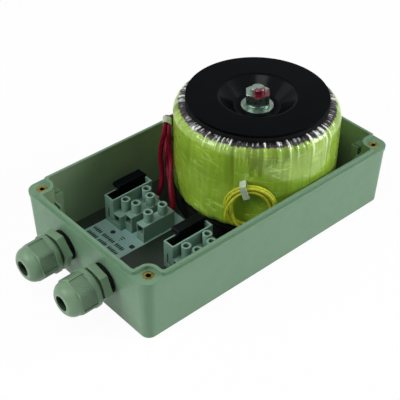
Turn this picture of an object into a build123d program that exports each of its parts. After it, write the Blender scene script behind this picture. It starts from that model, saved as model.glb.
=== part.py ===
from build123d import *
import os
from math import cos, pi, radians, sin, sqrt, tan

os.makedirs("parts", exist_ok=True)

# Toroidal transformer in an open case. Millimetres, Z up, X along the case with the gland wall at -X.
# The origin is the centre of the case's underside.

# Fits shared by mating pieces
fit_gap = 0.05
slide_gap = 0.3
rest_gap = 0.3

# Case: drafted walls, a proud rim, a ledge and a raised lip
case_length = 226.0
case_width = 129.5
case_height = 48.4
case_wall = 3.2
case_floor = 3.0
case_draft = 2.2
case_corner = 8.0
case_foot_round = 1.0
rim_proud = 0.5
rim_height = 2.2
lip_height = 2.6
lip_thickness = 2.0
lip_corner = 2.0

# Corner bosses and their threaded inserts
boss_inset_x = 9.3
boss_inset_y = 8.4
boss_radius = 7.8
insert_diameter = 7.7
insert_bore = 3.6
insert_length = 10.0

# Slotted guide posts beside each corner boss
post_length = 6.2
post_depth = 7.6
post_height = 39.0
post_pitch_x = 9.9
post_pitch_y = 13.0
post_slot = 1.6
post_slot_depth = 14.0
post_slot_inset = 2.1

# Cable glands in the -X wall
gland_post_gap = 5.55
gland_height = 26.6
gland_thread = 20.0
gland_bore = 12.4
gland_neck = 18.8
gland_neck_length = 10.0
gland_hex = 24.0
gland_hex_length = 5.6
gland_hex_edge = 0.5
gland_tail = 2.0
body_turns = (9.0, 49.0)
nut_turns = (49.0, 40.0)
gasket_thickness = 3.6
gasket_diameter = 22.0
locknut_hex = 27.0
locknut_thickness = 5.0
nut_groove = 2.7
nut_collar_diameter = 27.8
nut_collar_length = 3.0
nut_flats = 25.0
nut_flat_corner = 3.0
nut_panel_length = 11.2
nut_panel_recess = 0.4
nut_panel_width = 10.0
nut_dome_step = 0.6
nut_dome_diameter = 24.6
nut_dome_length = 7.7
nut_dome_bulge = 1.3
nut_tip_diameter = 16.0
nut_opening = 10.6
nut_opening_depth = 2.0
seal_bore = 9.6
seal_length = 5.8

# Label card under the mains block
label_width = 40.0
label_thickness = 0.4
label_end_gap = 15.5
label_past_block = 6.6
label_margin = 0.6

# Terminal blocks: a fuse pocket with three screw poles beside it
block_gap = 6.1
mains_side_gap = 11.9
output_side_gap = 3.6
pocket_length = 35.8
pocket_width = 9.4
pocket_height = 22.3
pocket_wall = 1.1
pocket_floor = 1.6
pocket_cut_start = 8.0
pocket_cut_depth = 6.0
pole_width = 7.8
pole_gap = 5.6
short_pole_length = 28.0
fused_ledge = 11.9
plain_ledge = 14.0
fused_tower_pitch = 18.8
plain_tower_pitch = 12.8
tower_diameter = 6.8
tower_height = 22.0
tower_bore = 4.3
entry_width = 6.0
entry_height = 6.2
entry_roof = 0.9
web_length = 16.0
web_height = 6.0
end_slot_width = 1.3
end_slot_height = 9.0
end_slot_foot = 4.2
end_slot_low = 4.0

# Brass clamps and their screws
clamp_wall = 0.6
clamp_end = 4.0
clamp_screw = 3.8
clamp_screw_sink = 3.6
clamp_screw_stop = 2.75
screw_slot = 0.8
screw_slot_depth = 1.0
fixing_screw = 3.0
fixing_head = 5.2
fixing_head_height = 1.8
fixing_depth = 2.2

# Glass fuses, their contacts and pull-out carriers
fuse_length = 20.0
fuse_cap_diameter = 5.2
fuse_cap_length = 5.2
fuse_cap_wall = 0.3
fuse_glass_wall = 0.6
fuse_height = 8.4
contact_thickness = 0.5
contact_width = 4.6
contact_height = 10.0
contact_foot = 4.5
carrier_web = 1.2
carrier_low = 5.0
carrier_hook_width = 3.0
carrier_hook_pitch = 6.0
carrier_hook_wall = 0.8
handle_length = 25.0
handle_width = 7.2
handle_thickness = 2.4
handle_lift = 0.5
handle_bevel = 1.2
handle_out = 4.6
handle_shift = 5.4

# Toroid: rounded ring section, film outside, windings and core inside
toroid_end_gap = 8.05
toroid_side_gap = 0.8
ring_width = 34.5
toroid_height = 69.5
toroid_round = 8.0
core_round = 1.4
film_thickness = 0.8
secondary_thickness = 4.2
insulation_thickness = 0.4
primary_thickness = 4.1
core_wrap_thickness = 0.8
pleat_count = 60
pleat_width = 1.3
pleat_proud = 0.5
pleat_from = 15.0
pleat_to = 85.0

# Pads, dished plate and centre fastening
lower_pad_thickness = 12.0
lower_pad_inset = 1.0
upper_pad_thickness = 3.7
upper_pad_inset = 8.2
upper_pad_spread = 6.0
bolt_boss_diameter = 32.0
bolt_recess_diameter = 21.0
bolt_recess_depth = 7.5
plate_inset = 0.2
plate_thickness = 1.8
dish_rim_spread = 3.5
dish_floor_room = 4.6
dish_depth = 10.0
plate_bend = 3.0
bolt_diameter = 10.0
bolt_clearance = 0.3
bolt_head_hex = 16.0
bolt_head_height = 6.4
bolt_end = 3.5
bolt_end_bevel = 0.8
washer_diameter = 22.8
washer_thickness = 2.0
spring_washer_diameter = 17.6
spring_washer_thickness = 2.3
spring_washer_slit = 1.2
nut_hex = 16.0
nut_height = 8.2
nut_edge = 1.0
hex_nut_turn = 48.0

# Leads: each bend takes the same share of its shorter run
bend_share = 0.45
red_lead_diameter = 2.2
yellow_lead_diameter = 2.2
coil_tie_thickness = 1.1
red_tie_z = 64.4
red_tie_height = 4.8
red_tie_gap = 0.5
red_tie_thickness = 0.8
red_tie_head = 4.0
coil_angle = -136.6
coil_height = 40.8
coil_outer = 18.0
coil_inner = 11.0
coil_thickness = 4.8
coil_round = 1.8
coil_tie_angle = 18.0
coil_tie_width = 4.2
coil_tie_gap = 0.7

# Derived places
draft_slope = tan(radians(case_draft))
body_length = case_length - 2 * rim_proud
body_width = case_width - 2 * rim_proud
cavity_length = body_length - 2 * case_wall
cavity_width = body_width - 2 * case_wall
foot_run = case_height * draft_slope
floor_run = (case_height - case_floor) * draft_slope
boss_x = case_length / 2 - boss_inset_x
boss_y = case_width / 2 - boss_inset_y
boss_spots = [(sx * boss_x, sy * boss_y) for sx in (-1, 1) for sy in (-1, 1)]
gland_y = boss_y - post_pitch_y - post_length / 2 - gland_post_gap - locknut_hex / 2
gland_spots = (gland_y, -gland_y)
floor_end = cavity_length / 2 - floor_run
floor_side = cavity_width / 2 - floor_run
toroid_diameter = 2 * (floor_side - toroid_side_gap)
toroid_hole = toroid_diameter - 2 * ring_width
toroid_x = floor_end - toroid_end_gap - toroid_diameter / 2
lower_pad_diameter = toroid_diameter - 2 * lower_pad_inset
upper_pad_diameter = toroid_diameter - 2 * upper_pad_inset
upper_pad_hole = toroid_hole + 2 * upper_pad_spread
plate_diameter = upper_pad_diameter - 2 * plate_inset
dish_rim_diameter = toroid_hole + 2 * dish_rim_spread
dish_floor_diameter = washer_diameter + 2 * dish_floor_room
block_depth = pocket_width + 3 * pole_width + pole_gap
block_x = toroid_x - toroid_diameter / 2 - block_gap - pocket_length / 2
mains_block_y = floor_side - mains_side_gap
output_block_y = output_side_gap + block_depth - floor_side
label_low_x = label_end_gap - floor_end
label_high_x = block_x + pocket_length / 2 + label_past_block
label_y = mains_block_y + label_margin - label_width / 2
toroid_low = case_floor + lower_pad_thickness
toroid_top = toroid_low + toroid_height
plate_top = toroid_top + upper_pad_thickness + plate_thickness
dish_top = plate_top - dish_depth
nut_low = dish_top + washer_thickness + spring_washer_thickness
bolt_seat = bolt_recess_depth
bolt_top = nut_low + nut_height + bolt_end
bolt_hole = bolt_diameter + 2 * bolt_clearance
toroid_axis = Axis((toroid_x, 0, 0), (0, 0, 1))
toroid_section = Plane(origin=(toroid_x, 0, 0), x_dir=(1, 0, 0), z_dir=(0, -1, 0))
lower_middle = (Align.CENTER, Align.CENTER, Align.MIN)
upper_middle = (Align.CENTER, Align.CENTER, Align.MAX)


def save(part, label):
    part.label = label
    export_step(part, f"parts/{label}.step")


# Outline of the case's hollow: the wall line, with an arched notch round each corner boss
def cavity_outline(inward):
    half_length = cavity_length / 2 - inward
    half_width = cavity_width / 2 - inward
    arch = boss_radius + inward
    corner = boss_inset_x + boss_inset_y
    with BuildSketch() as outline:
        Rectangle(2 * half_length, 2 * half_width)
        with Locations(*boss_spots):
            Circle(arch, mode=Mode.SUBTRACT)
        with GridLocations(2 * boss_x + corner - arch, 2 * boss_y + corner, 2, 2):
            Rectangle(corner + arch, corner, mode=Mode.SUBTRACT)
        with GridLocations(2 * boss_x + corner, 2 * boss_y + corner - arch, 2, 2):
            Rectangle(corner, corner + arch, mode=Mode.SUBTRACT)
        at_end = [v for v in outline.vertices() if abs(v.X) > half_length - fit_gap]
        at_side = [v for v in outline.vertices() if abs(v.Y) > half_width - fit_gap]
        fillet(at_end + at_side, lip_corner)
    return outline.sketch


def gland_plane(y):
    x = -(body_length / 2 - (case_height - gland_height) * draft_slope)
    outward = (-cos(radians(case_draft)), 0, -sin(radians(case_draft)))
    return Plane(origin=(x, y, gland_height), x_dir=(0, 1, 0), z_dir=outward)


# The plane that holds a gland's axis: local X is the radius, local Y runs outward
def gland_section(y):
    face = gland_plane(y)
    return Plane(origin=face.origin, x_dir=face.x_dir, z_dir=face.x_dir.cross(face.z_dir))


floor_outline = cavity_outline(floor_run)
lip_inside = cavity_outline(0)
lip_outside = cavity_outline(-lip_thickness)
block_floors = {"mains": case_floor + label_thickness, "output": case_floor}
block_sides = {"mains": mains_block_y, "output": output_block_y}
pole_spots = (
    pocket_width + pole_width / 2,
    pocket_width + pole_width * 3 / 2,
    pocket_width + pole_width * 5 / 2 + pole_gap,
)
pole_lengths = (pocket_length, short_pole_length, short_pole_length)
pole_ledges = (fused_ledge, plain_ledge, plain_ledge)
tower_pitches = (fused_tower_pitch, plain_tower_pitch, plain_tower_pitch)
web_spot = pocket_width + 2 * pole_width + pole_gap / 2

# Case moulding
with BuildPart() as case:
    with BuildSketch():
        RectangleRounded(body_length - 2 * foot_run, body_width - 2 * foot_run, case_corner - foot_run)
    extrude(amount=case_height, taper=-case_draft)
    fillet(case.faces().sort_by(Axis.Z)[0].edges(), case_foot_round)
    with BuildSketch(Plane.XY.offset(case_height - rim_height)):
        RectangleRounded(case_length, case_width, case_corner + rim_proud)
    extrude(amount=rim_height)
    with BuildSketch(Plane.XY.offset(case_floor)):
        add(floor_outline)
    extrude(amount=case_height - case_floor, taper=-case_draft, mode=Mode.SUBTRACT)
    with BuildSketch(Plane.XY.offset(case_height)):
        add(lip_outside)
        add(lip_inside, mode=Mode.SUBTRACT)
    extrude(amount=lip_height)
    # Guide posts, half sunk in the walls that carry them
    side_y = floor_side - post_depth
    end_x = floor_end - post_depth
    side_pitch = 2 * (side_y + (post_depth + case_wall / 2) / 2)
    end_pitch = 2 * (end_x + (post_depth + case_wall / 2) / 2)
    with Locations((0, 0, case_floor)):
        with GridLocations(2 * (boss_x - post_pitch_x), side_pitch, 2, 2):
            Box(post_length, post_depth + case_wall / 2, post_height, align=lower_middle)
        with GridLocations(end_pitch, 2 * (boss_y - post_pitch_y), 2, 2):
            Box(post_depth + case_wall / 2, post_length, post_height, align=lower_middle)
    with Locations((0, 0, case_floor + post_height)):
        with GridLocations(2 * (boss_x - post_pitch_x), 2 * (side_y + post_slot_inset), 2, 2):
            Box(post_length, post_slot, post_slot_depth, align=upper_middle, mode=Mode.SUBTRACT)
        with GridLocations(2 * (end_x + post_slot_inset), 2 * (boss_y - post_pitch_y), 2, 2):
            Box(post_slot, post_length, post_slot_depth, align=upper_middle, mode=Mode.SUBTRACT)
    # Boss that the centre bolt stands in, with its head sunk in the underside
    with Locations((toroid_x, 0, case_floor)):
        Cylinder(bolt_boss_diameter / 2, lower_pad_thickness, align=lower_middle)
    with Locations((toroid_x, 0, 0)):
        Cylinder(bolt_recess_diameter / 2, bolt_recess_depth, align=lower_middle, mode=Mode.SUBTRACT)
        Cylinder(bolt_hole / 2, toroid_low, align=lower_middle, mode=Mode.SUBTRACT)
    with Locations(*[(x, y, case_height) for x, y in boss_spots]):
        Cylinder(
            insert_diameter / 2 + fit_gap,
            insert_length + fit_gap,
            align=upper_middle,
            mode=Mode.SUBTRACT,
        )
    for y in gland_spots:
        with BuildSketch(gland_plane(y)):
            Circle(gland_thread / 2 + fit_gap)
        extrude(amount=case_wall + gland_tail, both=True, mode=Mode.SUBTRACT)
    with Locations(*[(block_x, y - web_spot, case_floor) for y in block_sides.values()]):
        Cylinder(fixing_screw / 2 + fit_gap, fixing_depth, align=upper_middle, mode=Mode.SUBTRACT)
save(case.part, "case")

with BuildPart() as corner_inserts:
    with Locations(*[(x, y, case_height) for x, y in boss_spots]):
        Cylinder(insert_diameter / 2, insert_length, align=upper_middle)
        Cylinder(insert_bore / 2, insert_length, align=upper_middle, mode=Mode.SUBTRACT)
save(corner_inserts.part, "corner_inserts")

# Cable glands, each on the drafted wall's own plane
wall_through = case_wall * cos(radians(case_draft))
hex_end = gasket_thickness + gland_hex_length
nut_start = hex_end + nut_groove
neck_end = nut_start + gland_neck_length
collar_end = nut_start + nut_collar_length
panel_end = collar_end + nut_panel_length
nut_tip = panel_end + nut_dome_length
tail_end = wall_through + locknut_thickness + gland_tail
gland_names = ("far_gland", "near_gland")
for gland, y, body_turn, nut_turn in zip(gland_names, gland_spots, body_turns, nut_turns):
    face = gland_plane(y)
    section = gland_section(y)
    axis = Axis(face.origin, face.z_dir)

    with BuildPart() as gland_body:
        with BuildSketch(face.offset(gasket_thickness)):
            RegularPolygon(gland_hex / 2, 6, major_radius=False, rotation=body_turn)
        extrude(amount=gland_hex_length)
        chamfer(gland_body.faces().sort_by(axis)[-1].edges(), gland_hex_edge)
        with BuildSketch(face.offset(-tail_end)):
            Circle(gland_thread / 2)
        extrude(amount=tail_end + gasket_thickness)
        with BuildSketch(face.offset(hex_end)):
            Circle(gland_neck / 2)
        extrude(amount=neck_end - hex_end)
        with BuildSketch(face.offset(-tail_end)):
            Circle(gland_bore / 2)
        extrude(amount=tail_end + neck_end, mode=Mode.SUBTRACT)
    save(gland_body.part, f"{gland}_body")

    with BuildPart() as gland_gasket:
        with BuildSketch(face):
            Circle(gasket_diameter / 2)
            Circle(gland_thread / 2 + fit_gap, mode=Mode.SUBTRACT)
        extrude(amount=gasket_thickness)
    save(gland_gasket.part, f"{gland}_gasket")

    with BuildPart() as gland_locknut:
        with BuildSketch(face.offset(-wall_through)):
            RegularPolygon(locknut_hex / 2, 6, major_radius=False, rotation=30)
            Circle(gland_thread / 2 + fit_gap, mode=Mode.SUBTRACT)
        extrude(amount=-locknut_thickness)
    save(gland_locknut.part, f"{gland}_locknut")

    # Domed nut: a hex with rounded corners, cut to a dome, over a round collar
    chamber = gland_neck / 2 + fit_gap
    with BuildPart() as gland_dome_nut:
        with BuildSketch(face.offset(nut_start)) as flats:
            RegularPolygon(nut_flats / 2, 6, major_radius=False, rotation=nut_turn)
            fillet(flats.vertices(), nut_flat_corner)
        extrude(amount=nut_tip - nut_start)
        sides = gland_dome_nut.faces().filter_by(GeomType.PLANE).sort_by(axis)[1:-1]
        for panel in sides:
            middle = panel.center() + face.z_dir * ((collar_end + panel_end - nut_start - nut_tip) / 2)
            with BuildSketch(Plane(origin=middle, x_dir=face.z_dir, z_dir=panel.normal_at())):
                Rectangle(nut_panel_length, nut_panel_width)
            extrude(amount=-nut_panel_recess, mode=Mode.SUBTRACT)
        with BuildSketch(section):
            with BuildLine():
                collar = nut_collar_diameter / 2
                dome = nut_dome_diameter / 2
                tip = nut_tip_diameter / 2
                dome_start = panel_end + nut_dome_step
                Polyline(
                    (tip, nut_tip),
                    (0, nut_tip),
                    (0, nut_start),
                    (collar, nut_start),
                    (collar, panel_end),
                    (dome, dome_start),
                )
                SagittaArc((dome, dome_start), (tip, nut_tip), -nut_dome_bulge)
            make_face()
        revolve(axis=axis, mode=Mode.INTERSECT)
        with BuildSketch(face.offset(nut_start)):
            Circle(nut_collar_diameter / 2)
        extrude(amount=nut_collar_length)
        with BuildSketch(section):
            with BuildLine():
                seal_end = neck_end + seal_length
                Polyline(
                    (0, nut_start),
                    (chamber, nut_start),
                    (chamber, seal_end),
                    (nut_opening / 2, nut_tip - nut_opening_depth),
                    (nut_opening / 2, nut_tip),
                    (0, nut_tip),
                    close=True,
                )
            make_face()
        revolve(axis=axis, mode=Mode.SUBTRACT)
    save(gland_dome_nut.part, f"{gland}_dome_nut")

    with BuildPart() as gland_seal:
        with BuildSketch(face.offset(neck_end)):
            Circle(gland_neck / 2)
            Circle(seal_bore / 2, mode=Mode.SUBTRACT)
        extrude(amount=seal_length)
    save(gland_seal.part, f"{gland}_seal")

with BuildPart() as label_card:
    with Locations(((label_low_x + label_high_x) / 2, label_y, case_floor)):
        Box(label_high_x - label_low_x, label_width, label_thickness, align=lower_middle)
    with Locations((block_x, mains_block_y - web_spot, case_floor)):
        Cylinder(fixing_screw / 2 + slide_gap, label_thickness, align=lower_middle, mode=Mode.SUBTRACT)
save(label_card.part, "label_card")

# Terminal blocks, with everything that sits in them
well_length = pocket_length - 2 * pocket_wall
well_width = pocket_width - 2 * pocket_wall
glass_diameter = fuse_cap_diameter - 2 * fuse_cap_wall - 2 * fit_gap
web_side = pocket_wall + slide_gap
fuse_side = web_side + carrier_web + fuse_cap_diameter / 2 + fit_gap
handle_low = pocket_height + handle_lift
for block, far_y in block_sides.items():
    seat = Plane(origin=(block_x, far_y, block_floors[block]))
    poles = list(zip(pole_spots, pole_lengths, pole_ledges, tower_pitches))

    with BuildPart(seat) as terminal_block:
        with Locations((0, -pocket_width / 2)):
            Box(pocket_length, pocket_width, pocket_height, align=lower_middle)
        with Locations((0, -web_spot)):
            Box(web_length, pole_gap, web_height, align=lower_middle)
        for spot, length, ledge, pitch in poles:
            with Locations((0, -spot)):
                Box(length, pole_width, ledge, align=lower_middle)
            with Locations((-pitch / 2, -spot), (pitch / 2, -spot)):
                Cylinder(tower_diameter / 2, tower_height, align=lower_middle)
        # Fuse well, its cut-down far wall and the slots in its end walls
        with Locations((0, -pocket_width / 2, pocket_floor)):
            Box(well_length, well_width, pocket_height, align=lower_middle, mode=Mode.SUBTRACT)
        cut_length = pocket_cut_start + well_length / 2
        with Locations((cut_length / 2 - pocket_cut_start, 0, pocket_height)):
            Box(
                cut_length,
                2 * pocket_wall,
                2 * pocket_cut_depth,
                mode=Mode.SUBTRACT,
            )
        with Locations((0, -pocket_width / 2, end_slot_low)):
            Box(
                pocket_length,
                end_slot_width,
                end_slot_height,
                align=(Align.CENTER, Align.MIN, Align.MIN),
                mode=Mode.SUBTRACT,
            )
            Box(
                pocket_length,
                end_slot_foot,
                end_slot_width,
                align=(Align.CENTER, Align.MAX, Align.MIN),
                mode=Mode.SUBTRACT,
            )
        # Wire entries right through each pole, and screw bores down the towers
        for spot, length, ledge, pitch in poles:
            with Locations((0, -spot, ledge - entry_roof)):
                Box(length, entry_width, entry_height, align=upper_middle, mode=Mode.SUBTRACT)
            with Locations((-pitch / 2, -spot, tower_height), (pitch / 2, -spot, tower_height)):
                Cylinder(
                    tower_bore / 2,
                    tower_height - ledge + entry_roof,
                    align=upper_middle,
                    mode=Mode.SUBTRACT,
                )
        with Locations((0, -web_spot)):
            Cylinder(
                fixing_screw / 2 + slide_gap, web_height, align=lower_middle, mode=Mode.SUBTRACT
            )
    save(terminal_block.part, f"{block}_block")

    # The fused pole has a clamp at each end, the plain poles one clamp right through
    clamp_runs = []
    for spot, length, ledge, pitch in poles:
        low = ledge - entry_roof - entry_height
        if length == pocket_length:
            clamp_runs += [(sign * pitch / 2, spot, low, 2 * clamp_end) for sign in (-1, 1)]
        else:
            clamp_runs.append((0, spot, low, pitch + 2 * clamp_end))
    clamp_width = entry_width - 2 * fit_gap
    clamp_height = entry_height - fit_gap
    with BuildPart(seat) as terminal_clamps:
        for along, spot, low, length in clamp_runs:
            with Locations((along, -spot, low)):
                Box(length, clamp_width, clamp_height, align=lower_middle)
            with Locations((along, -spot, low + clamp_wall)):
                Box(
                    length,
                    clamp_width - 2 * clamp_wall,
                    clamp_height - 2 * clamp_wall,
                    align=lower_middle,
                    mode=Mode.SUBTRACT,
                )
        for spot, length, ledge, pitch in poles:
            with Locations((-pitch / 2, -spot, ledge), (pitch / 2, -spot, ledge)):
                Cylinder(
                    clamp_screw / 2 + fit_gap,
                    entry_roof + clamp_height / 2,
                    align=upper_middle,
                    mode=Mode.SUBTRACT,
                )
    save(terminal_clamps.part, f"{block}_clamps")

    with BuildPart(seat) as clamp_screws:
        for spot, length, ledge, pitch in poles:
            low = ledge - entry_roof - entry_height + clamp_wall + clamp_screw_stop
            high = tower_height - clamp_screw_sink
            for sign in (-1, 1):
                with Locations((sign * pitch / 2, -spot, low)):
                    Cylinder(clamp_screw / 2, high - low, align=lower_middle)
                with Locations((sign * pitch / 2, -spot, high)):
                    Box(
                        clamp_screw,
                        screw_slot,
                        screw_slot_depth,
                        align=upper_middle,
                        mode=Mode.SUBTRACT,
                    )
    save(clamp_screws.part, f"{block}_clamp_screws")

    # Leaf contacts at the ends of the fuse
    with BuildPart(seat) as fuse_contacts:
        leaf = fuse_length / 2 + slide_gap
        for sign in (-1, 1):
            with Locations((sign * (leaf + contact_thickness / 2), -fuse_side, pocket_floor)):
                Box(contact_thickness, contact_width, contact_height, align=lower_middle)
            with Locations((sign * (leaf + contact_foot / 2), -fuse_side, pocket_floor)):
                Box(contact_foot, contact_width, contact_thickness, align=lower_middle)
    save(fuse_contacts.part, f"{block}_fuse_contacts")

    fuse_line = Plane(seat.from_local_coords((0, -fuse_side, fuse_height)), z_dir=(1, 0, 0))
    with BuildPart() as fuse_caps:
        for sign in (-1, 1):
            outer_end = sign * fuse_length / 2
            with BuildSketch(fuse_line.offset(outer_end)):
                Circle(fuse_cap_diameter / 2)
            extrude(amount=-sign * fuse_cap_length)
            with BuildSketch(fuse_line.offset(outer_end - sign * fuse_cap_wall)):
                Circle(glass_diameter / 2 + fit_gap)
            extrude(amount=-sign * fuse_cap_length, mode=Mode.SUBTRACT)
    save(fuse_caps.part, f"{block}_fuse_caps")

    glass_half = fuse_length / 2 - fuse_cap_wall - fit_gap
    with BuildPart() as fuse_glass:
        with BuildSketch(fuse_line):
            Circle(glass_diameter / 2)
            Circle(glass_diameter / 2 - fuse_glass_wall, mode=Mode.SUBTRACT)
        extrude(amount=glass_half, both=True)
    save(fuse_glass.part, f"{block}_fuse_glass")

    # Pull-out carrier: a web beside the fuse, two hooks round its glass and a bar to pull
    hook_radius = glass_diameter / 2 + carrier_hook_wall
    hook_deep = fuse_side + hook_radius - web_side
    with BuildPart(seat) as fuse_carrier:
        with Locations((0, -web_side, carrier_low)):
            Box(
                well_length - 2 * slide_gap,
                carrier_web,
                handle_low - carrier_low,
                align=(Align.CENTER, Align.MAX, Align.MIN),
            )
        for sign in (-1, 1):
            with Locations((sign * carrier_hook_pitch / 2, -web_side, fuse_height)):
                Box(
                    carrier_hook_width,
                    hook_deep,
                    2 * hook_radius,
                    align=(Align.CENTER, Align.MAX, Align.CENTER),
                )
        with Locations((handle_shift, handle_out, handle_low)):
            Box(
                handle_length,
                handle_width,
                handle_thickness,
                align=(Align.CENTER, Align.MAX, Align.MIN),
            )
        bar_ends = fuse_carrier.edges().group_by(Axis.Z)[-1].filter_by(Axis.Y)
        chamfer(bar_ends, handle_bevel)
        with BuildSketch(fuse_line):
            Circle(glass_diameter / 2 + fit_gap)
        extrude(amount=glass_half, both=True, mode=Mode.SUBTRACT)
    save(fuse_carrier.part, f"{block}_fuse_carrier")

with BuildPart() as fixing_screws:
    for block, far_y in block_sides.items():
        web_top = block_floors[block] + web_height
        with Locations((block_x, far_y - web_spot, web_top)):
            Cylinder(fixing_head / 2, fixing_head_height, align=lower_middle)
        with Locations((block_x, far_y - web_spot, case_floor - fixing_depth + fit_gap)):
            Cylinder(
                fixing_screw / 2,
                web_top - case_floor + fixing_depth - fit_gap,
                align=lower_middle,
            )
        with Locations((block_x, far_y - web_spot, web_top + fixing_head_height)):
            Box(fixing_head, screw_slot, screw_slot_depth, align=upper_middle, mode=Mode.SUBTRACT)
save(fixing_screws.part, "block_fixing_screws")

# Toroid, from the film in to the core
ring_middle = (toroid_diameter + toroid_hole) / 4


def ring_face(inset):
    width = ring_width - 2 * inset
    height = toroid_height - 2 * inset
    with Locations((ring_middle, toroid_low + toroid_height / 2)):
        RectangleRounded(width, height, max(toroid_round - inset, core_round))


with BuildPart() as pleat:
    shoulder = (toroid_diameter / 2 - toroid_round, toroid_top - toroid_round)
    crest = toroid_round + pleat_proud
    with BuildSketch(toroid_section):
        with BuildLine():
            arc = CenterArc(shoulder, crest, pleat_from, pleat_to - pleat_from)
            Polyline(arc @ 1, shoulder, arc @ 0)
        make_face()
    extrude(amount=pleat_width / 2, both=True)

layers = {
    "film_wrap": film_thickness,
    "secondary_winding": secondary_thickness,
    "winding_insulation": insulation_thickness,
    "primary_winding": primary_thickness,
    "core_insulation": core_wrap_thickness,
}
inset = 0.0
for name, depth in layers.items():
    with BuildPart() as layer:
        with BuildSketch(toroid_section):
            ring_face(inset)
        revolve(axis=toroid_axis)
        if name == "film_wrap":
            with Locations((toroid_x, 0)):
                with PolarLocations(0, pleat_count):
                    add(pleat.part.moved(Location((-toroid_x, 0, 0))))
        inset += depth
        with BuildSketch(toroid_section):
            ring_face(inset)
        revolve(axis=toroid_axis, mode=Mode.SUBTRACT)
    save(layer.part, name)

with BuildPart() as toroid_core:
    with BuildSketch(toroid_section):
        ring_face(inset)
    revolve(axis=toroid_axis)
save(toroid_core.part, "toroid_core")

# Pads, plate and centre fastening
with BuildPart() as lower_pad:
    with Locations((toroid_x, 0, case_floor)):
        Cylinder(lower_pad_diameter / 2, lower_pad_thickness, align=lower_middle)
        Cylinder(
            bolt_boss_diameter / 2 + rest_gap,
            lower_pad_thickness,
            align=lower_middle,
            mode=Mode.SUBTRACT,
        )
save(lower_pad.part, "lower_pad")

with BuildPart() as upper_pad:
    with Locations((toroid_x, 0, toroid_top)):
        Cylinder(upper_pad_diameter / 2, upper_pad_thickness, align=lower_middle)
        Cylinder(upper_pad_hole / 2, upper_pad_thickness, align=lower_middle, mode=Mode.SUBTRACT)
save(upper_pad.part, "upper_pad")

with BuildPart() as dished_plate:
    with BuildSketch(toroid_section) as sheet:
        with BuildLine():
            upper_side = [
                (bolt_hole / 2, dish_top),
                (dish_floor_diameter / 2, dish_top),
                (dish_rim_diameter / 2, plate_top),
                (plate_diameter / 2, plate_top),
            ]
            lower_side = [(r, z - plate_thickness) for r, z in reversed(upper_side)]
            Polyline(*upper_side, *lower_side, close=True)
        make_face()
        bends = [dish_floor_diameter / 2, dish_rim_diameter / 2]
        corners = [v for v in sheet.vertices() if min(abs(v.X - bend) for bend in bends) < fit_gap]
        fillet(corners, plate_bend)
    revolve(axis=toroid_axis)
save(dished_plate.part, "dished_plate")

with BuildPart() as centre_bolt:
    with BuildSketch(Plane.XY.offset(bolt_seat)):
        with Locations((toroid_x, 0)):
            RegularPolygon(bolt_head_hex / 2, 6, major_radius=False)
    extrude(amount=-bolt_head_height)
    with Locations((toroid_x, 0, bolt_seat)):
        Cylinder(bolt_diameter / 2, bolt_top - bolt_seat, align=lower_middle)
    chamfer(centre_bolt.faces().sort_by(Axis.Z)[-1].edges(), bolt_end_bevel)
save(centre_bolt.part, "centre_bolt")

with BuildPart() as flat_washer:
    with Locations((toroid_x, 0, dish_top)):
        Cylinder(washer_diameter / 2, washer_thickness, align=lower_middle)
        Cylinder(bolt_hole / 2, washer_thickness, align=lower_middle, mode=Mode.SUBTRACT)
save(flat_washer.part, "flat_washer")

with BuildPart() as spring_washer:
    with Locations((toroid_x, 0, dish_top + washer_thickness)):
        Cylinder(spring_washer_diameter / 2, spring_washer_thickness, align=lower_middle)
        Cylinder(bolt_hole / 2, spring_washer_thickness, align=lower_middle, mode=Mode.SUBTRACT)
        Box(
            spring_washer_diameter,
            spring_washer_slit,
            spring_washer_thickness,
            align=(Align.MIN, Align.CENTER, Align.MIN),
            mode=Mode.SUBTRACT,
        )
save(spring_washer.part, "spring_washer")

with BuildPart() as hex_nut:
    with BuildSketch(Plane.XY.offset(nut_low)):
        with Locations((toroid_x, 0)):
            RegularPolygon(nut_hex / 2, 6, major_radius=False, rotation=hex_nut_turn)
    extrude(amount=nut_height)
    # Corners turned off top and bottom
    with BuildSketch(toroid_section):
        with BuildLine():
            corner_radius = nut_hex / sqrt(3)
            Polyline(
                (0, nut_low),
                (corner_radius - nut_edge, nut_low),
                (corner_radius, nut_low + nut_edge / 2),
                (corner_radius, nut_low + nut_height - nut_edge / 2),
                (corner_radius - nut_edge, nut_low + nut_height),
                (0, nut_low + nut_height),
                close=True,
            )
        make_face()
    revolve(axis=toroid_axis, mode=Mode.INTERSECT)
    with Locations((toroid_x, 0, nut_low)):
        Cylinder(bolt_diameter / 2 + fit_gap, nut_height, align=lower_middle, mode=Mode.SUBTRACT)
save(hex_nut.part, "hex_nut")


# Leads: straight runs joined by arcs as large as the runs allow
def route_radii(points):
    radii = []
    for before, corner, after in zip(points, points[1:], points[2:]):
        run_in = Vector(corner) - Vector(before)
        run_out = Vector(after) - Vector(corner)
        half_turn = radians(run_in.get_angle(run_out) / 2)
        radii.append(bend_share * min(run_in.length, run_out.length) / tan(half_turn))
    return radii


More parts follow.
